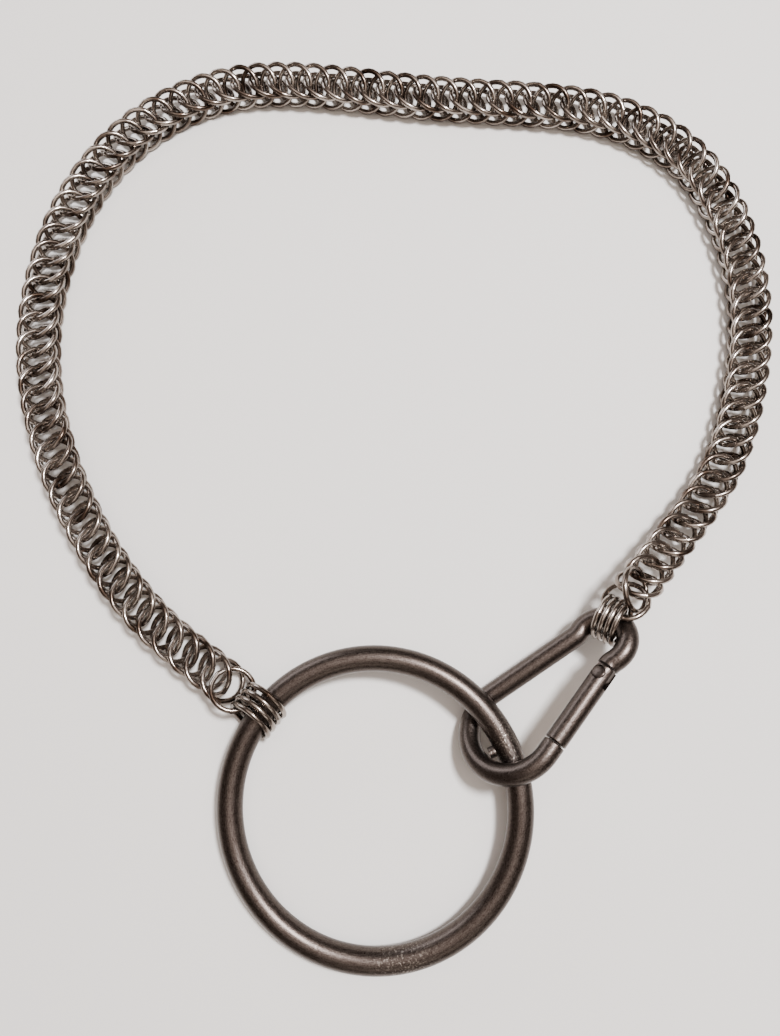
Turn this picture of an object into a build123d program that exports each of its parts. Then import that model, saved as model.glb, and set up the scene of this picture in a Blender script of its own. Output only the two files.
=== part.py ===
from build123d import *
import math
import os

# Chain necklace of small steel rings, closed at the front by a large round ring and a hinged hook.
# It lies flat on a table. Millimetres, Z up. Sizes first, shapes after them.

# Large round ring
oring_wire = 6.0
oring_bore = 60.0
oring_x = -3.61
oring_y = -67.67
oring_lean = 4.76
oring_high_side = 58.5
pip_width = 2.6
pip_proud = 1.3
pip_side = 24.0

# Hinged hook, lying leaned over with its bend round the large ring
hook_wire = 5.0
hook_length = 50.0
hook_width = 26.0
hook_eye_bore = 7.0
hook_eye_bulge = 1.085
hook_shoulder = 4.0
hook_hooked_at = 29.53
hook_slack = 2.43
hook_across = 1.41
hook_heading = 43.35
hook_roll = 39.73
hook_pitch = 4.69

# Hinge and nose of the hook
rivet_shaft = 2.2
rivet_head = 3.0
rivet_head_height = 0.5
rivet_head_round = 0.3
rivet_head_seat = 0.05
rivet_set_back = 2.5
hinge_play = 0.05
hinge_joint_gap = 0.45
hinge_side_gap = 0.2
tongue_thick = 1.6
nose_length = 2.72
nose_gap = 0.3
nose_slot_depth = 2.5
nose_catch = 1.9
nose_wall = 1.2
catch_rest = 0.05
edge_round = 0.3

# Small rings of the chain
link_wire = 1.3
link_bore = 8.7
link_spread = 0.57
link_column_gap = 0.40
link_roll = 9.0
link_roll_run = 45.0
pitch_per_radius = 1.0

# Rings that hold the chain to the large ring
tie_wire = 1.3
tie_bore = 9.52
tie_side = 141.96
tie_reach = 1.2
tie_rise = -0.0514
tie_lean = 21.95
tie_fan = 0.62
tie_step = 1.88

# Rings that hold the chain to the hook
hang_wire = 1.3
hang_bore = 8.67
hang_reach = -0.72
hang_rise = 0.486
hang_shift = 1.6
hang_turn = 17.41
hang_step = 1.48
hang_lean = 13.21

# Line that the chain lies along, as it is seen from above
link_rest = 0.0
start_reach = 9.82
start_drop = 1.5514
route_samples = 90
route_points = [
    (-55.6, -27.0),
    (-72.2, -6.5),
    (-83.9, 16.4),
    (-90.2, 41.7),
    (-89.0, 67.8),
    (-80.6, 91.8),
    (-64.3, 110.6),
    (-41.5, 120.6),
    (-16.6, 120.6),
    (9.3, 117.2),
    (36.0, 115.0),
    (61.0, 110.6),
    (80.6, 97.2),
    (90.6, 75.2),
    (92.6, 50.8),
    (87.6, 25.4),
    (76.4, 3.2),
]
end_ahead = 4.9
end_aside = -2.83
end_run = 19.0
end_turn = 4.0
end_height = 14.3
start_rise = 16.0
end_rise = 46.0

# First and last link: each is pulled towards its tie rings and lies flatter than the rest
first_pull = 1.015
first_lift = 1.782
first_dip = -0.078
first_tilt = -0.419
last_pull = 0.716
last_lift = -1.146
last_aside = 0.124
last_dip = -0.281
last_tilt = -0.586

# Last link but one: the tie rings push it up
before_pull = -0.114
before_lift = 1.758
before_aside = -0.166
before_dip = -0.515
before_tilt = 0.066


def heading(angle):
    """Flat direction at an angle in degrees, counted from +X towards +Y."""
    return Vector(math.cos(math.radians(angle)), math.sin(math.radians(angle)), 0)


def flat_of(point):
    """Same point at the table's height."""
    return Vector(point.X, point.Y, 0)


def ring(centre, normal, bore, wire):
    """Round ring of round wire with its middle at centre and its axis along normal."""
    place = Plane(origin=centre, z_dir=normal)
    return place.location * Torus((bore + wire) / 2, wire / 2)


up = Vector(0, 0, 1)

# Large ring: it rests on the table at its low side and leans on the hook at its high side
oring_radius = (oring_bore + oring_wire) / 2
oring_rise = math.radians(oring_lean)
oring_centre = Vector(oring_x, oring_y, oring_wire / 2 + oring_radius * math.sin(oring_rise))
oring_normal = up * math.cos(oring_rise) - heading(oring_high_side) * math.sin(oring_rise)


def on_oring(side):
    """Point on the middle line of the large ring that is seen at the angle side from above."""
    flat = heading(side)
    slope = -(oring_normal.X * flat.X + oring_normal.Y * flat.Y) / oring_normal.Z
    along = Vector(flat.X, flat.Y, slope)
    return oring_centre + along.normalized() * oring_radius


large_ring = ring(oring_centre, oring_normal, oring_bore, oring_wire)
pip_at = on_oring(pip_side)
pip_inward = (oring_centre - pip_at).normalized()
pip_length = oring_wire / 2 + pip_proud
pip_place = Plane(origin=pip_at + pip_inward * pip_length / 2, z_dir=pip_inward)
pip = pip_place.location * Cylinder(pip_width / 2, pip_length)
large_ring = large_ring + pip

# Hook in its own flat plane: X runs from the bend to the eye, Y from the gate to the spine
bend_radius = (hook_width - hook_wire) / 2
eye_radius = (hook_eye_bore + hook_wire) / 2
eye_x = hook_length - hook_wire - bend_radius - eye_radius
eye_depth = eye_radius - hook_eye_bulge
taper = math.asin((bend_radius - eye_depth) / eye_x)
hook_taper = math.degrees(taper)
shoulder_back = math.sqrt((hook_shoulder + eye_radius) ** 2 - (hook_shoulder + eye_depth) ** 2)
straight = eye_x * math.cos(taper) - shoulder_back
shoulder_turn = math.degrees(math.atan2(hook_shoulder + eye_depth, -shoulder_back))
eye_start = shoulder_turn - hook_taper

spine_dir = Vector(math.cos(taper), -math.sin(taper), 0)
spine_out = Vector(math.sin(taper), math.cos(taper), 0)
gate_dir = Vector(math.cos(taper), math.sin(taper), 0)
gate_in = Vector(-math.sin(taper), math.cos(taper), 0)
spine_foot = spine_out * bend_radius
gate_foot = gate_in * -bend_radius
spine_end = spine_foot + spine_dir * straight
upper_centre = spine_end + spine_out * hook_shoulder
lower_centre = gate_foot + gate_dir * straight - gate_in * hook_shoulder
eye_centre = Vector(eye_x, 0, 0)

bend = CenterArc((0, 0, 0), bend_radius, -90 + hook_taper, -180 - 2 * hook_taper)
spine = Line(spine_foot, spine_end)
upper_turn = CenterArc(upper_centre, hook_shoulder, -90 - hook_taper, shoulder_turn - 90)
eye = CenterArc(eye_centre, eye_radius, eye_start, -2 * eye_start)
lower_turn = CenterArc(lower_centre, hook_shoulder, 180 - eye_start, shoulder_turn - 90)
hook_path = Wire([bend, spine, upper_turn, eye, lower_turn])
hook_section = Plane(origin=gate_foot, z_dir=-gate_dir) * Circle(hook_wire / 2)
hook_bar = sweep(hook_section, path=hook_path)

# The gate's own axes: X along the gate from the bend to the hinge, Y to the inside of the hook
gate_plane = Plane(origin=gate_foot, x_dir=gate_dir, z_dir=up)


def in_gate(shape):
    """Shape drawn in the gate's axes, moved to where the gate is in the hook's plane."""
    return gate_plane.location * shape


def rod(start, end, free_ends):
    """Round bar of the hook's wire along the gate's X axis, with the edge of each free end rounded."""
    bar = Cylinder(hook_wire / 2, end - start, rotation=(0, 90, 0))
    end_edges = bar.edges().filter_by(GeomType.CIRCLE).sort_by(Axis.X)
    bar = fillet(end_edges[-free_ends:], edge_round)
    return Pos((start + end) / 2, 0, 0) * bar


def slab(x0, x1, y0, y1, thick):
    """Flat block between two values of X and two of Y, centred on the hook's plane."""
    return Pos((x0 + x1) / 2, (y0 + y1) / 2, 0) * Box(x1 - x0, y1 - y0, thick)


rivet_x = straight - rivet_set_back
tongue_round = rivet_set_back - hinge_joint_gap
gate_start = nose_length + nose_gap
gate_end = straight - hinge_joint_gap
slot_thick = tongue_thick + 2 * hinge_side_gap
half_wire = hook_wire / 2

# Nose: the end of the bend, slotted for the gate's catch
nose = rod(0, nose_length, 1)
nose_slot_back = nose_length - nose_slot_depth
nose_slot = slab(nose_slot_back, nose_length + 1, nose_wall - half_wire, half_wire + 1, slot_thick)

# Tongue: the flat end of the eye that the gate turns on
tongue = slab(rivet_x, straight + tongue_thick / 2, -tongue_round, tongue_round, tongue_thick)
tongue = tongue + Pos(rivet_x, 0, 0) * Cylinder(tongue_round, tongue_thick)
tongue = tongue - Pos(rivet_x, 0, 0) * Cylinder(rivet_shaft / 2 + hinge_play / 2, tongue_thick * 2)

body = hook_bar + in_gate(nose) - in_gate(nose_slot) + in_gate(tongue)

# Gate: round bar, forked at the hinge, with a flat catch that rests in the nose
gate = rod(gate_start, gate_end, 2)
inner_corner = slab(rivet_x, gate_end + 1, 0, half_wire + 1, hook_wire + 1)
inner_corner = inner_corner - Pos(rivet_x, 0, 0) * Cylinder(tongue_round - edge_round / 2, hook_wire * 2)
gate = gate - inner_corner
fork_slot = slab(rivet_x - rivet_set_back, gate_end + 1, -half_wire - 1, half_wire + 1, slot_thick)
gate = gate - fork_slot
gate = gate - Pos(rivet_x, 0, 0) * Cylinder(rivet_shaft / 2 + hinge_play, hook_wire * 2)
seat_depth = rivet_head_height + rivet_head_seat
seat_z = half_wire - seat_depth
seat_bore = rivet_head / 2 + 2 * hinge_play
seat = Pos(rivet_x, 0, seat_z + hook_wire / 2) * Cylinder(seat_bore, hook_wire)
gate = gate - seat - mirror(seat, about=Plane.XY)
catch_back = nose_length - nose_catch
catch_floor = nose_wall - half_wire + catch_rest
catch = slab(catch_back, gate_start + half_wire / 2, catch_floor, half_wire / 2, tongue_thick)
gate = gate + catch

# Rivet with a low round head on each side
shaft = Cylinder(rivet_shaft / 2, 2 * (seat_z + rivet_head_seat) + rivet_head_height)
head = Cylinder(rivet_head / 2, rivet_head_height)
head = fillet(head.edges().sort_by(Axis.Z)[-1], rivet_head_round)
head = Pos(0, 0, seat_z + rivet_head_seat + rivet_head_height / 2) * head
rivet = Pos(rivet_x, 0, 0) * (shaft + head + mirror(head, about=Plane.XY))

# The hook's place: the large ring's middle line passes through its plane inside the bend
flat_head = heading(hook_heading)
side_head = heading(hook_heading + 90)
pitch = math.radians(hook_pitch)
roll = math.radians(hook_roll)
hook_u = flat_head * math.cos(pitch) + up * math.sin(pitch)
hook_w0 = hook_u.cross(side_head)
hook_v = side_head * math.cos(roll) - hook_w0 * math.sin(roll)
hook_w = hook_u.cross(hook_v)
through_u = hook_slack + half_wire + oring_wire / 2 - bend_radius
hook_origin = on_oring(hook_hooked_at) - hook_u * through_u - hook_v * hook_across
hook_plane = Plane(origin=hook_origin, x_dir=hook_u, z_dir=hook_w)

hook_body = hook_plane.location * body
hook_gate = hook_plane.location * in_gate(gate)
hook_rivet = hook_plane.location * in_gate(rivet)

# Line of the chain, from its first ring by the large ring to its last by the hook
tie_seat = on_oring(tie_side)
start_height = tie_seat.Z - start_drop
eye_top = hook_origin + hook_u * (eye_x + eye_radius)
tie_dir = heading(tie_side)
tie_across = heading(tie_side + 90)
oring_flat = Vector(oring_x, oring_y, 0)
first = oring_flat + tie_dir * (oring_radius + start_reach)
link_radius = (link_bore + link_wire) / 2
column_share = (link_wire + link_column_gap) / (link_radius * pitch_per_radius)
link_slope = column_share * math.sqrt((1 + link_spread**2) / (1 - column_share**2))
roll_rise = math.cos(math.radians(link_roll)) - link_spread * math.sin(math.radians(link_roll))
link_lean = math.acos(roll_rise / math.sqrt(1 + link_slope**2 + link_spread**2))
route_height = link_radius * math.sin(link_lean) + link_wire / 2 + link_rest
last = flat_of(eye_top) + flat_head * end_ahead - side_head * end_aside
before_last = last + heading(hook_heading + end_turn) * end_run
middle = [Vector(x, y, 0) for x, y in route_points]
plan = Spline([first] + middle + [before_last, last], tangents=[tie_dir, last - before_last])


def height(distance):
    """Height of the chain's middle line: level, and curving up towards both of its ends."""
    near_start = max(0, 1 - distance / start_rise)
    near_end = max(0, 1 - (plan.length - distance) / end_rise)
    rise = (start_height - route_height) * near_start**2 + (end_height - route_height) * near_end**2
    return route_height + rise


route_stops = [plan.length * k / route_samples for k in range(route_samples + 1)]
route_plan = [plan.position_at(d, position_mode=PositionMode.LENGTH) for d in route_stops]
route = Spline([point + up * height(d) for point, d in zip(route_plan, route_stops)])
route_length = route.length

# Two columns of links share the line. Each link lies under two of the other column and over two.
link_count = 2 * round(route_length / (link_radius * pitch_per_radius))
link_step = route_length / (link_count - 1)
link_pitch = 2 * link_step


def link_pose(index):
    """Middle and axis of one link: every second link leans the other way."""
    distance = min(index * link_step, route_length)
    centre = route.position_at(distance, position_mode=PositionMode.LENGTH)
    along = route.tangent_at(distance, position_mode=PositionMode.LENGTH)
    flat_left = up.cross(along).normalized()
    flat_above = along.cross(flat_left)
    held = min(1, distance / link_roll_run, (route_length - distance) / link_roll_run)
    roll_turn = math.radians(link_roll * held)
    left = flat_left * math.cos(roll_turn) + flat_above * math.sin(roll_turn)
    above = flat_above * math.cos(roll_turn) - flat_left * math.sin(roll_turn)
    sign = -1 if index % 2 == 0 else 1
    axis = above - along * (sign * link_slope) - left * (sign * link_spread)
    return centre, axis.normalized()


link_poses = [link_pose(index) for index in range(link_count)]
first_at = link_poses[0][0] - tie_dir * first_pull + up * first_lift
first_axis = up + tie_dir * first_dip + tie_across * first_tilt
link_poses[0] = (first_at, first_axis.normalized())
last_dir = (link_poses[-1][0] - link_poses[-3][0]).normalized()
last_side = up.cross(last_dir).normalized()
last_at = link_poses[-1][0] + last_dir * last_pull + last_side * last_aside + up * last_lift
last_axis = up + last_dir * last_dip + last_side * last_tilt
link_poses[-1] = (last_at, last_axis.normalized())
before_at = link_poses[-2][0] + last_dir * before_pull + last_side * before_aside + up * before_lift
before_axis = link_poses[-2][1] + last_dir * before_dip + last_side * before_tilt
link_poses[-2] = (before_at, before_axis.normalized())
links = [ring(centre, axis, link_bore, link_wire) for centre, axis in link_poses]

# Four rings side by side round the large ring and through the first link
tie_height = tie_seat.Z + tie_rise
tie_middle = oring_flat + tie_dir * (oring_radius + tie_reach) + up * tie_height
tie_poses = []
for place in (-1.5, -0.5, 0.5, 1.5):
    centre = tie_middle + tie_across * (tie_step * place)
    turn = math.radians(tie_fan * place)
    lean = math.radians(tie_lean)
    axis = tie_across * math.cos(turn) + tie_dir * math.sin(turn)
    axis = axis * math.cos(lean) + up * math.sin(lean)
    tie_poses.append((centre, axis))
ties = [ring(centre, axis, tie_bore, tie_wire) for centre, axis in tie_poses]

# Four rings side by side round the hook's eye and through the last link
hang_poses = []
for place in (-1.5, -0.5, 0.5, 1.5):
    turn = math.radians(hang_turn)
    lean = math.radians(hang_lean)
    axis = hook_v * math.cos(turn) - hook_u * math.sin(turn)
    axis = axis * math.cos(lean) + hook_w * math.sin(lean)
    middle_at = eye_top + hook_u * hang_reach + hook_w * hang_rise + hook_v * hang_shift
    hang_poses.append((middle_at + axis * (hang_step * place), axis))
hangs = [ring(centre, axis, hang_bore, hang_wire) for centre, axis in hang_poses]

# Every piece is a node of its own, and the chain's loose links are one
pieces = {
    "o_ring": [large_ring],
    "hook_body": [hook_body],
    "hook_gate": [hook_gate],
    "hook_rivet": [hook_rivet],
}
for number in range(4):
    pieces["ring_jump_" + str(number + 1)] = [ties[number]]
    pieces["hook_jump_" + str(number + 1)] = [hangs[number]]
pieces["chain_weave"] = links

# The whole is moved so that the middle of its underside is the origin
boxes = [solid.bounding_box() for shapes in pieces.values() for solid in shapes]
low = Vector(min(b.min.X for b in boxes), min(b.min.Y for b in boxes), min(b.min.Z for b in boxes))
high = Vector(max(b.max.X for b in boxes), max(b.max.Y for b in boxes), max(b.max.Z for b in boxes))
shift = Vector(-(low.X + high.X) / 2, -(low.Y + high.Y) / 2, -low.Z)
move = Location(shift)

if __name__ == "__main__":
    os.makedirs("parts", exist_ok=True)
    for name, shapes in pieces.items():
        moved = [move * shape for shape in shapes]
        export_step(moved[0] if len(moved) == 1 else Compound(children=moved), "parts/" + name + ".step")
    pivot = move * hook_plane.location * gate_plane.location * Pos(rivet_x, 0, 0)
    print("moved by", shift)
    print("size", high - low)
    print("route length", route_length, "links", link_count, "pitch", link_pitch, "slope", link_slope)
    print("gate pivot", pivot.position, "axis", hook_w)
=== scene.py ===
"""Ring-woven steel necklace with a large round ring and a hinged hook on a table. Metres, Z up."""
import math

import bpy
import numpy as np
from mathutils import Matrix, Vector


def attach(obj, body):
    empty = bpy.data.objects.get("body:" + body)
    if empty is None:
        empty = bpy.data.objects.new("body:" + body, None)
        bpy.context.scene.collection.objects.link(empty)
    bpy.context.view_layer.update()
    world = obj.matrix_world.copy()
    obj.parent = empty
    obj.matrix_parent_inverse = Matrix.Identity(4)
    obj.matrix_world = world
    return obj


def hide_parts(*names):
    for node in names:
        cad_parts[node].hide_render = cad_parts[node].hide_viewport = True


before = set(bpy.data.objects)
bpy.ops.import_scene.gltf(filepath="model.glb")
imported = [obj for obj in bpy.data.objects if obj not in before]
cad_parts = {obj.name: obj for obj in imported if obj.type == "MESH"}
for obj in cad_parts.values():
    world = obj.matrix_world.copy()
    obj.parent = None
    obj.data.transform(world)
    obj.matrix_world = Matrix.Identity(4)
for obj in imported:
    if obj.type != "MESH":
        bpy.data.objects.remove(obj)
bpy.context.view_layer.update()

MM = 0.001

# Where the photograph was taken from: a close view from nearly overhead, with the top of the
# picture further away
CAMERA_AIM = (-1.056 * MM, -11.646 * MM, 0.008 * MM)
CAMERA_HEIGHT = 191.7 * MM
CAMERA_TILT = math.radians(11.39)
CAMERA_SIDE = math.radians(-0.45)
CAMERA_NEAR = 5 * MM
CAMERA_FAR = 20.0
PHOTO_HIGH = 1036
FOCAL_PIXELS = 780
SENSOR_HIGH = 36


def place_camera():
    """Puts the camera at its height over the table, looking at CAMERA_AIM along its tilt."""
    ahead = Vector(
        (
            math.sin(CAMERA_SIDE) * math.cos(CAMERA_TILT),
            math.sin(CAMERA_TILT),
            -math.cos(CAMERA_SIDE) * math.cos(CAMERA_TILT),
        )
    ).normalized()
    right = ahead.cross(Vector((0, 1, 0))).normalized()
    above = right.cross(ahead)
    eye = Vector(CAMERA_AIM) - ahead * (CAMERA_HEIGHT / -ahead.z)
    data = bpy.data.cameras.new("camera")
    data.sensor_fit = "VERTICAL"
    data.sensor_height = SENSOR_HIGH
    data.lens = FOCAL_PIXELS / PHOTO_HIGH * SENSOR_HIGH
    data.clip_start = CAMERA_NEAR
    data.clip_end = CAMERA_FAR
    camera = bpy.data.objects.new("camera", data)
    bpy.context.scene.collection.objects.link(camera)
    turn = Matrix((right, above, -ahead)).transposed()
    camera.matrix_world = Matrix.Translation(eye) @ turn.to_4x4()
    bpy.context.scene.camera = camera


place_camera()


# Meshes

# Corners of a CAD mesh that are nearer than this are one corner
SAME_PLACE = 0.002 * MM
# Edges that fold by more than this stay crisp
CRISP_FOLD = math.radians(32)


def mesh_object(name, points, faces, smooth=True):
    """Object at the origin.

    Points are one array. Faces are a list of arrays, each with one number of corners a face.
    """
    mesh = bpy.data.meshes.new(name)
    counts = np.concatenate([np.full(len(f), f.shape[1]) for f in faces])
    corners = np.concatenate([f.ravel() for f in faces]).astype(np.int32)
    starts = np.concatenate([[0], np.cumsum(counts)[:-1]]).astype(np.int32)
    mesh.vertices.add(len(points))
    mesh.vertices.foreach_set("co", points.astype(np.float32).ravel())
    mesh.loops.add(len(corners))
    mesh.loops.foreach_set("vertex_index", corners)
    mesh.polygons.add(len(counts))
    mesh.polygons.foreach_set("loop_start", starts)
    mesh.polygons.foreach_set("use_smooth", np.full(len(counts), smooth))
    mesh.update(calc_edges=True)
    mesh.validate()
    made = bpy.data.objects.new(name, mesh)
    bpy.context.scene.collection.objects.link(made)
    return made


def unit(vectors):
    """Vectors divided by their lengths."""
    return vectors / np.linalg.norm(vectors, axis=-1, keepdims=True)


def ring_poses(node):
    """Middle and axis of each loose ring of a CAD node.

    Corners at the same place are made one, and corners that share a face get the same label until
    none changes. A ring's middle is the middle of its corners' box, and its axis is the direction
    in which they spread least, turned upwards.
    """
    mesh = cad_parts[node].data
    points = np.empty(len(mesh.vertices) * 3, np.float32)
    mesh.vertices.foreach_get("co", points)
    mesh.calc_loop_triangles()
    faces = np.empty(len(mesh.loop_triangles) * 3, np.int32)
    mesh.loop_triangles.foreach_get("vertices", faces)
    points = points.reshape(-1, 3).astype(float)
    keys = np.round(points / SAME_PLACE).astype(np.int64)
    first, same = np.unique(keys, axis=0, return_index=True, return_inverse=True)[1:]
    corners = points[first]
    faces = same.reshape(-1)[faces].reshape(-1, 3)
    label = np.arange(len(corners))
    while True:
        least = label[faces].min(axis=1)
        new = label.copy()
        for side in range(3):
            np.minimum.at(new, faces[:, side], least)
        new = new[new]
        if (new == label).all():
            break
        label = new
    middles, axes = [], []
    for value in np.unique(label):
        cloud = corners[label == value]
        axis = np.linalg.svd(cloud - cloud.mean(0), full_matrices=False)[2][2]
        middles.append((cloud.min(0) + cloud.max(0)) / 2)
        axes.append(axis if axis[2] > 0 else -axis)
    return np.array(middles), np.array(axes)


# Small rings: drawn wire, cut and closed by hand, so no two are quite the same

# The wire is 1.3 mm thick, and eight-sided here, so its corners stand out a little further
LINK_WIRE = 1.32 * MM
# Radii to the middle of the wire: the chain's links, and the tie rings at the ring and the hook
LINK_RADIUS = 5.0 * MM
TIE_RADIUS = {"ring_jump": 5.41 * MM, "hook_jump": 4.985 * MM}
TIES_EACH = 4
# The cut in each ring: its width, and how far its two sides usually miss each other
CUT = 0.05 * MM
CUT_STEP = 0.05 * MM
# Share of its radius by which a ring is usually out of round
OUT_OF_ROUND = 0.004
RING_SPANS = 12
WIRE_SIDES = 4
SUBDIVISIONS = 1
# A smooth closed curve through few control points runs inside them, by these shares of their radius
SPAN_SHARE = (4 + 2 * math.cos(2 * math.pi / RING_SPANS)) / 6
SIDE_SHARE = 0.66
CHAIN_SEED = 11
TIE_SEED = 40


def closed_by_hand(middles, axes, radius, wire, seed):
    """Control points and faces of many rings: 48 faces and two ends each, which get subdivided.

    A ring's middle line runs from one side of its cut to the other. At the angle t it is
    radius + out_of_round * cos(2 * (t - long_side)) from the ring's middle, and
    step * (t / full turn - 1/2) along the axis. A point at the angle s round the wire is half a
    wire from that line, by cos(s) outwards and by sin(s) along the axis. Both distances are
    divided by the share of them that the smooth surface keeps.
    """
    rng = np.random.default_rng(seed)
    count = len(middles)
    # Two directions square to each axis, worked out from X, or from Y where the axis is near X
    helper = np.where(np.abs(axes[:, :1]) < 0.8, [[1.0, 0, 0]], [[0, 1.0, 0]])
    side_a = unit(np.cross(axes, helper))
    side_b = np.cross(axes, side_a)
    gap = CUT / radius
    t = np.linspace(gap / 2, 2 * np.pi - gap / 2, RING_SPANS + 1)
    # The cut's two rims are creased, so they keep their distance from the ring's middle
    share = np.full(RING_SPANS + 1, SPAN_SHARE)
    share[[0, -1]] = 1
    start = rng.uniform(0, 2 * np.pi, (count, 1))
    out_of_round = rng.normal(0, OUT_OF_ROUND, (count, 1)) * radius
    long_side = rng.uniform(0, np.pi, (count, 1))
    step = rng.normal(0, CUT_STEP, (count, 1))
    reach = (radius + out_of_round * np.cos(2 * (t[None, :] - long_side))) / share
    rise = step * (t[None, :] / (2 * np.pi) - 0.5)
    angle = (t[None, :] + start)[..., None]
    outward = np.cos(angle) * side_a[:, None] + np.sin(angle) * side_b[:, None]
    line = middles[:, None] + outward * reach[..., None] + axes[:, None] * rise[..., None]
    s = (np.arange(WIRE_SIDES) * 2 * np.pi / WIRE_SIDES)[:, None]
    around = np.cos(s) * outward[:, :, None] + np.sin(s) * axes[:, None, None]
    skin = line[:, :, None] + around * wire / 2 / SIDE_SHARE
    per_ring = (RING_SPANS + 1) * WIRE_SIDES
    grid = np.arange(per_ring).reshape(RING_SPANS + 1, WIRE_SIDES)
    over = np.roll(grid, -1, axis=1)
    walls = np.stack([grid[:-1], over[:-1], over[1:], grid[1:]], axis=-1).reshape(-1, 4)
    ends = np.stack([grid[0][::-1], grid[-1]])
    quads = np.concatenate([walls, ends])
    shift = (np.arange(count) * per_ring)[:, None, None]
    return skin.reshape(-1, 3), [(quads[None] + shift).reshape(-1, 4)]


def rounded_rings(name, middles, axes, radius, seed):
    """Rings as one object: the rims of their cuts stay crisp, and subdivision rounds the rest."""
    points, faces = closed_by_hand(middles, axes, radius, LINK_WIRE, seed)
    piece = mesh_object(name, points, faces)
    mesh = piece.data
    pairs = np.empty(len(mesh.edges) * 2, np.int32)
    mesh.edges.foreach_get("vertices", pairs)
    loop = pairs.reshape(-1, 2) // WIRE_SIDES
    place = loop[:, 0] % (RING_SPANS + 1)
    rim = (loop[:, 0] == loop[:, 1]) & ((place == 0) | (place == RING_SPANS))
    crease = mesh.attributes.new("crease_edge", "FLOAT", "EDGE")
    crease.data.foreach_set("value", rim.astype(np.float32))
    sharp = mesh.attributes.new("sharp_edge", "BOOLEAN", "EDGE")
    sharp.data.foreach_set("value", rim)
    smooth = piece.modifiers.new("rounded", "SUBSURF")
    smooth.levels = smooth.render_levels = SUBDIVISIONS
    smooth.use_limit_surface = True
    crisp = piece.modifiers.new("crisp_cuts", "EDGE_SPLIT")
    crisp.use_edge_angle = False
    crisp.use_edge_sharp = True
    return piece


# Materials

# The marks run round the large ring's middle, and along the hook's heading
RING_MIDDLE = (-4.666 * MM, -79.317 * MM, 5.746 * MM)
RING_RADIUS = 33 * MM
HOOK_HEADING = math.radians(43.35)
# Nicked places: the ring's front, the ring where the hook swings on it, and the hook's nose
KNOCK_REACH = 9 * MM
RING_KNOCKS = [(1.9 * MM, -111.7 * MM, 6.0 * MM), (25.1 * MM, -65.2 * MM, 10.0 * MM)]
HOOK_KNOCKS = [(36.0 * MM, -67.5 * MM, 12.0 * MM)]
# Marks on the tumbled steel. Its scratches and grain are a few hundredths of a millimetre wide on
# real steel: they are drawn wider, so that they show.
SCUFF_PATCH = 9 * MM
SCRATCH_LONG = 1.2 * MM
SCRATCH_WIDE = 0.2 * MM
GRAIN_WIDE = 0.3 * MM
DENT_EVERY = 2.5 * MM
NICK_WIDE = 0.5 * MM
STEEL_RELIEF = 0.06 * MM
# Marks on the drawn wire: patches of dust, about one a ring, and the die's marks, drawn wider too
DUST_PATCH = 6 * MM
DIE_MARK = 0.4 * MM
WIRE_RELIEF = 0.02 * MM


def linear(code, alpha=1.0):
    """sRGB hex colour as linear red, green, blue and alpha."""
    parts = [int(code[i : i + 2], 16) / 255 for i in (1, 3, 5)]
    parts = [p / 12.92 if p <= 0.04045 else ((p + 0.055) / 1.055) ** 2.4 for p in parts]
    return (*parts, alpha)


def add(tree, kind, settings=None, **links):
    """Adds one node.

    Settings set its properties or, by a socket's name or number, that socket's value, and stops
    are the places and colours or greys of a colour ramp. Links join sockets, named by their name
    or by i and their number, to other nodes' outputs.
    """
    node = tree.nodes.new(kind)
    for key, value in (settings or {}).items():
        if key == "stops":
            for element, (place, tone) in zip(node.color_ramp.elements, value):
                element.position = place
                element.color = tone if isinstance(tone, tuple) else (tone, tone, tone, 1)
        elif isinstance(key, int) or key in node.inputs:
            node.inputs[key].default_value = value
        else:
            setattr(node, key, value)
    for key, source in links.items():
        numbered = key[0] == "i" and key[1:].isdigit()
        socket = node.inputs[int(key[1:]) if numbered else key.replace("_", " ")]
        tree.links.new(source, socket)
    return node


def new_material(name, metallic=1.0):
    """Material whose one shader is joined to its output, as a metal unless metallic is 0."""
    made = bpy.data.materials.new(name)
    made.use_nodes = True
    tree = made.node_tree
    tree.nodes.clear()
    shader = add(tree, "ShaderNodeBsdfPrincipled", {"Metallic": metallic})
    add(tree, "ShaderNodeOutputMaterial", i0=shader.outputs["BSDF"])
    return made, tree, shader


def ring_way(tree):
    """Marks run round the ring: X is the arc, Y the distance from its middle and Z the height."""
    where = add(tree, "ShaderNodeTexCoord").outputs["Object"]
    off = {"operation": "SUBTRACT", 1: RING_MIDDLE}
    offset = add(tree, "ShaderNodeVectorMath", off, i0=where).outputs[0]
    x, y, z = add(tree, "ShaderNodeSeparateXYZ", Vector=offset).outputs
    angle = add(tree, "ShaderNodeMath", {"operation": "ARCTAN2"}, i0=y, i1=x).outputs[0]
    arc_length = {"operation": "MULTIPLY", 1: RING_RADIUS}
    arc = add(tree, "ShaderNodeMath", arc_length, i0=angle).outputs[0]
    out = add(tree, "ShaderNodeVectorMath", {"operation": "LENGTH"}, i0=offset).outputs["Value"]
    return add(tree, "ShaderNodeCombineXYZ", i0=arc, i1=out, i2=z).outputs[0]


def hook_way(tree):
    """Marks run along the hook: X is its length."""
    where = add(tree, "ShaderNodeTexCoord").outputs["Object"]
    turn_back = {"Rotation": (0, 0, -HOOK_HEADING)}
    return add(tree, "ShaderNodeMapping", turn_back, Vector=where).outputs[0]


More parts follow.
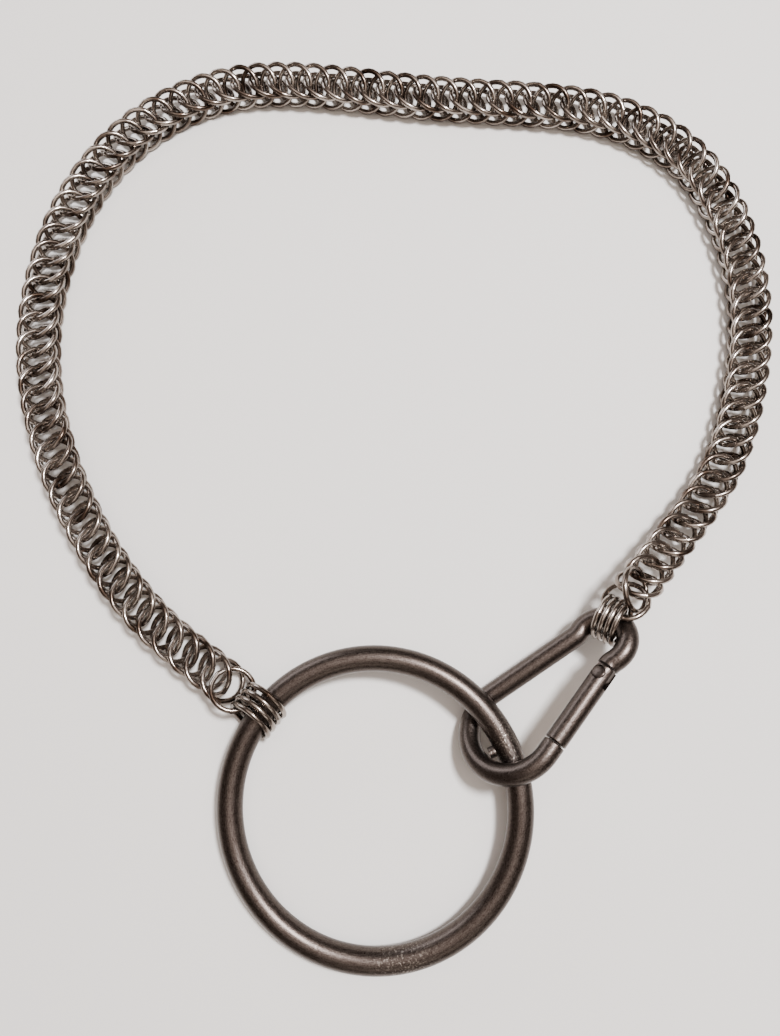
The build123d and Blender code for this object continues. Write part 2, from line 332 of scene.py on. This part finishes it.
def near(tree, places):
    """1 at each of the places, falling evenly to 0 at the distance KNOCK_REACH from it."""
    where = add(tree, "ShaderNodeTexCoord").outputs["Object"]
    nearest = None
    for place in places:
        apart = {"operation": "DISTANCE", 1: place}
        away = add(tree, "ShaderNodeVectorMath", apart, i0=where).outputs["Value"]
        fall = {"operation": "MULTIPLY_ADD", "use_clamp": True, 1: -1 / KNOCK_REACH, 2: 1.0}
        close = add(tree, "ShaderNodeMath", fall, i0=away).outputs[0]
        if nearest is None:
            nearest = close
        else:
            larger = {"operation": "MAXIMUM"}
            nearest = add(tree, "ShaderNodeMath", larger, i0=nearest, i1=close).outputs[0]
    return nearest


def tumbled_steel(name, knocked_places, way):
    """Stainless steel that was tumbled with stones: a dark, warm satin with sparkling highlights.

    The sparkle is fine scratches that run mostly along the bar, with grain between them. At the
    places where pieces knock together, the steel is nicked and brighter.
    """
    made, tree, shader = new_material(name)
    along = way(tree)
    # Patches that handling has scuffed more or less
    patch = {"Scale": 1 / SCUFF_PATCH, "Detail": 2.0}
    patches = add(tree, "ShaderNodeTexNoise", patch, Vector=along).outputs["Fac"]
    much = {"stops": [(0.40, 0.5), (0.64, 1.0)]}
    scuffed = add(tree, "ShaderNodeValToRGB", much, i0=patches).outputs["Color"]
    # Scratches, drawn out along the bar, with grain between them: half of each, so that their sum
    # stays between 0 and 1
    stretch = {"Scale": (1 / SCRATCH_LONG, 1 / SCRATCH_WIDE, 1 / SCRATCH_WIDE)}
    drawn = add(tree, "ShaderNodeMapping", stretch, Vector=along).outputs[0]
    fine = {"Scale": 1.0, "Detail": 3.0, "Roughness": 0.6}
    scratch = add(tree, "ShaderNodeTexNoise", fine, i0=drawn).outputs["Fac"]
    speck = {"Scale": 1 / GRAIN_WIDE, "Detail": 2.0}
    grain = add(tree, "ShaderNodeTexNoise", speck, Vector=along).outputs["Fac"]
    marks = add(tree, "ShaderNodeMath", {"operation": "ADD"}, i0=grain, i1=scratch).outputs[0]
    half = {"operation": "MULTIPLY", 1: 0.5}
    marks = add(tree, "ShaderNodeMath", half, i0=marks).outputs[0]
    # Dents about 0.4 mm wide
    cell = {"Scale": 1 / DENT_EVERY}
    dents = add(tree, "ShaderNodeTexVoronoi", cell, Vector=along).outputs["Distance"]
    pit = {"stops": [(0.04, 0.0), (0.16, 1.0)]}
    dent = add(tree, "ShaderNodeValToRGB", pit, i0=dents).outputs["Color"]
    # Nicks at the knocked places
    knock = {"Scale": 1 / NICK_WIDE, "Detail": 1.0}
    knocks = add(tree, "ShaderNodeTexNoise", knock, Vector=along).outputs["Fac"]
    sparse = {"stops": [(0.55, 0.0), (0.67, 1.0)]}
    knocks = add(tree, "ShaderNodeValToRGB", sparse, i0=knocks).outputs["Color"]
    times = {"operation": "MULTIPLY"}
    knocked = near(tree, knocked_places)
    nick = add(tree, "ShaderNodeMath", times, i0=knocks, i1=knocked).outputs[0]
    # Relief: the marks where it is scuffed, 0.3 up around the dents and 0.5 down in the nicks
    height = add(tree, "ShaderNodeMath", times, i0=marks, i1=scuffed).outputs[0]
    round_dents = {"operation": "MULTIPLY_ADD", 1: 0.3}
    height = add(tree, "ShaderNodeMath", round_dents, i0=dent, i2=height).outputs[0]
    in_nicks = {"operation": "MULTIPLY_ADD", 1: -0.5}
    height = add(tree, "ShaderNodeMath", in_nicks, i0=nick, i2=height).outputs[0]
    relief = {"Strength": 0.7, "Distance": STEEL_RELIEF}
    bump = add(tree, "ShaderNodeBump", relief, Height=height)
    tree.links.new(bump.outputs["Normal"], shader.inputs["Normal"])
    # Darker and glossier in the hollows of the marks, lighter and duller on them, bare in nicks
    tones = {"stops": [(0.35, linear("#3a322e")), (0.65, linear("#59514c"))]}
    colour = add(tree, "ShaderNodeValToRGB", tones, i0=marks).outputs["Color"]
    bared = {"data_type": "RGBA", 7: linear("#877f77")}
    colour = add(tree, "ShaderNodeMix", bared, i0=nick, i6=colour).outputs[2]
    tree.links.new(colour, shader.inputs["Base Color"])
    dull = {"stops": [(0.35, 0.27), (0.65, 0.40)]}
    rough = add(tree, "ShaderNodeValToRGB", dull, i0=marks).outputs["Color"]
    tree.links.new(rough, shader.inputs["Roughness"])
    return made


def drawn_wire():
    """Drawn stainless wire: bright, with narrow highlights, and browner where it collects dust."""
    made, tree, shader = new_material("drawn_stainless_wire")
    where = add(tree, "ShaderNodeTexCoord").outputs["Object"]
    patch = {"Scale": 1 / DUST_PATCH, "Detail": 2.0}
    patches = add(tree, "ShaderNodeTexNoise", patch, Vector=where).outputs["Fac"]
    mark = {"Scale": 1 / DIE_MARK, "Detail": 3.0}
    marks = add(tree, "ShaderNodeTexNoise", mark, Vector=where).outputs["Fac"]
    tones = {"stops": [(0.35, linear("#4b3e35")), (0.62, linear("#9f968e"))]}
    colour = add(tree, "ShaderNodeValToRGB", tones, i0=patches).outputs["Color"]
    tree.links.new(colour, shader.inputs["Base Color"])
    dull = {"stops": [(0.3, 0.15), (0.7, 0.26)]}
    rough = add(tree, "ShaderNodeValToRGB", dull, i0=marks).outputs["Color"]
    tree.links.new(rough, shader.inputs["Roughness"])
    relief = {"Strength": 0.2, "Distance": WIRE_RELIEF}
    bump = add(tree, "ShaderNodeBump", relief, Height=marks)
    tree.links.new(bump.outputs["Normal"], shader.inputs["Normal"])
    return made


ring_steel = tumbled_steel("tumbled_ring_steel", RING_KNOCKS, ring_way)
hook_steel = tumbled_steel("tumbled_hook_steel", HOOK_KNOCKS, hook_way)
bright = drawn_wire()


def finish_piece(piece, material, node):
    """Gives a piece its material, puts it on the body necklace, and hides the CAD node that it
    stands for.
    """
    piece.data.materials.clear()
    piece.data.materials.append(material)
    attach(piece, "necklace")
    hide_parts(node)


# Chain in two pieces, the half by the large ring and the half at the back of the neck
middles, axes = ring_poses("chain_weave")
order = np.argsort(middles[:, 1])
near_half, far_half = np.split(order, [len(order) // 2])
halves = {"weave_by_the_ring": near_half, "weave_at_the_back": far_half}
for number, (name, chosen) in enumerate(halves.items()):
    seed = CHAIN_SEED + number
    piece = rounded_rings(name, middles[chosen], axes[chosen], LINK_RADIUS, seed)
    finish_piece(piece, bright, "chain_weave")

# Tie rings, one piece each
for group, radius in TIE_RADIUS.items():
    for number in range(1, TIES_EACH + 1):
        node = group + "_" + str(number)
        piece = rounded_rings("tie_" + node, *ring_poses(node), radius, TIE_SEED + number)
        finish_piece(piece, bright, node)

# Hinge rivet: a shaft with a low dome on each end

# On the gate's hinge
RIVET_MIDDLE = (45.9173 * MM, -50.4226 * MM, 15.0455 * MM)
RIVET_AXIS = (-0.484487, 0.421622, 0.76649)
RIVET_SIDES = 32
DOME_ROWS = 7
# Radii of its shaft and head, then heights along its axis, counted from its middle
RIVET_SHAFT = 1.1 * MM
RIVET_HEAD = 1.5 * MM
RIVET_SEAT = 2.0 * MM
RIVET_RIM = 2.15 * MM
RIVET_TOP = 2.49 * MM


def domed_rivet():
    """Rivet turned about its axis.

    Its outline, as distance from the axis and height along it, is the shaft's radius up to the
    head's seat, then the head's radius up to its rim. From there the height is
    rim + (top - rim) * sqrt(1 - (distance / radius)^2), which is a low dome. The outline is
    mirrored for the other head, and closed by one point on the axis at each end.
    """
    turn = np.linspace(0, np.pi / 2, DOME_ROWS, endpoint=False)
    dome_height = RIVET_RIM + (RIVET_TOP - RIVET_RIM) * np.sin(turn)
    dome = np.stack([RIVET_HEAD * np.cos(turn), dome_height], axis=1)
    upper = np.concatenate([[(RIVET_SHAFT, RIVET_SEAT), (RIVET_HEAD, RIVET_SEAT)], dome])
    outline = np.concatenate([upper[::-1] * (1, -1), upper])
    axis = unit(np.array(RIVET_AXIS))
    side_a = unit(np.cross(axis, (1.0, 0, 0)))
    side_b = np.cross(axis, side_a)
    t = np.arange(RIVET_SIDES) * 2 * np.pi / RIVET_SIDES
    outward = np.cos(t)[:, None] * side_a + np.sin(t)[:, None] * side_b
    skin = outline[:, None, :1] * outward[None] + outline[:, None, 1:] * axis
    rows = len(outline)
    poles = np.array([-axis * RIVET_TOP, axis * RIVET_TOP])
    points = np.concatenate([skin.reshape(-1, 3), poles]) + RIVET_MIDDLE
    grid = np.arange(rows * RIVET_SIDES).reshape(rows, RIVET_SIDES)
    over = np.roll(grid, -1, axis=1)
    walls = np.stack([grid[:-1], over[:-1], over[1:], grid[1:]], axis=-1).reshape(-1, 4)
    low_pole = np.full(RIVET_SIDES, rows * RIVET_SIDES)
    low_cap = np.stack([over[0], grid[0], low_pole], axis=-1)
    high_cap = np.stack([grid[-1], over[-1], low_pole + 1], axis=-1)
    piece = mesh_object("domed_rivet", points, [walls, np.concatenate([low_cap, high_cap])])
    piece.modifiers.new("crisp_edges", "EDGE_SPLIT").split_angle = CRISP_FOLD
    return piece


finish_piece(domed_rivet(), hook_steel, "hook_rivet")

# The large ring, the hook and its gate keep their CAD meshes, joined up and shaded smooth
for node in ("o_ring", "hook_body", "hook_gate"):
    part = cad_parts[node]
    part.data.polygons.foreach_set("use_smooth", np.full(len(part.data.polygons), True))
    part.modifiers.new("joined", "WELD").merge_threshold = SAME_PLACE
    part.modifiers.new("crisp_edges", "EDGE_SPLIT").split_angle = CRISP_FOLD
    part.data.materials.clear()
    part.data.materials.append(ring_steel if node == "o_ring" else hook_steel)


# Table and light

TABLE_REACH = 3.0


def flat_table():
    """Plain pale table top, larger than any view of the necklace.

    Its uncoated paper is matt, so that it shows soft shadows and no reflections.
    """
    corners = np.array([(-1, -1, 0), (1, -1, 0), (1, 1, 0), (-1, 1, 0)]) * TABLE_REACH
    top = mesh_object("table_top", corners, [np.array([[0, 1, 2, 3]])], smooth=False)
    paper, _, shader = new_material("pale_paper", metallic=0.0)
    shader.inputs["Base Color"].default_value = linear("#dbd8d3")
    shader.inputs["Roughness"].default_value = 0.9
    top.data.materials.append(paper)


def soft_light(name, place, aim, size, watts, colour):
    """Softbox at place, facing aim. Its size is its width and height in metres."""
    data = bpy.data.lights.new(name, "AREA")
    data.shape = "RECTANGLE"
    data.size, data.size_y = size
    data.energy = watts
    data.color = linear(colour)[:3]
    lamp = bpy.data.objects.new(name, data)
    bpy.context.scene.collection.objects.link(lamp)
    lamp.location = place
    lamp.rotation_euler = (Vector(aim) - Vector(place)).to_track_quat("-Z", "Y").to_euler()


flat_table()
# Small and strong: the narrow highlights on the bars and the wire
soft_light("key_overhead", (0.24, 0.12, 0.78), (0, -0.02, 0), (0.12, 0.12), 15.0, "#fbfbff")
# Large and warm: the body tone of the steel
soft_light("soft_ceiling", (0.1, 0.05, 0.9), (0, 0, 0), (1.2, 1.2), 7.0, "#fff1e8")
# Low behind: the highlight on the hook's bend
soft_light("window_back_left", (-0.55, 0.55, 0.22), (0, -0.04, 0), (0.5, 0.3), 2.8, "#f6f8ff")
# Weak in front: keeps the near sides from going black
soft_light("fill_front", (0.1, -0.8, 0.5), (0, 0, 0), (0.6, 0.3), 1.0, "#fdf6ee")
# Dim warm walls all round, which the steel mirrors
room = bpy.data.worlds.new("room")
bpy.context.scene.world = room
room.use_nodes = True
background = room.node_tree.nodes["Background"]
background.inputs["Color"].default_value = linear("#8c7d73")
background.inputs["Strength"].default_value = 0.8
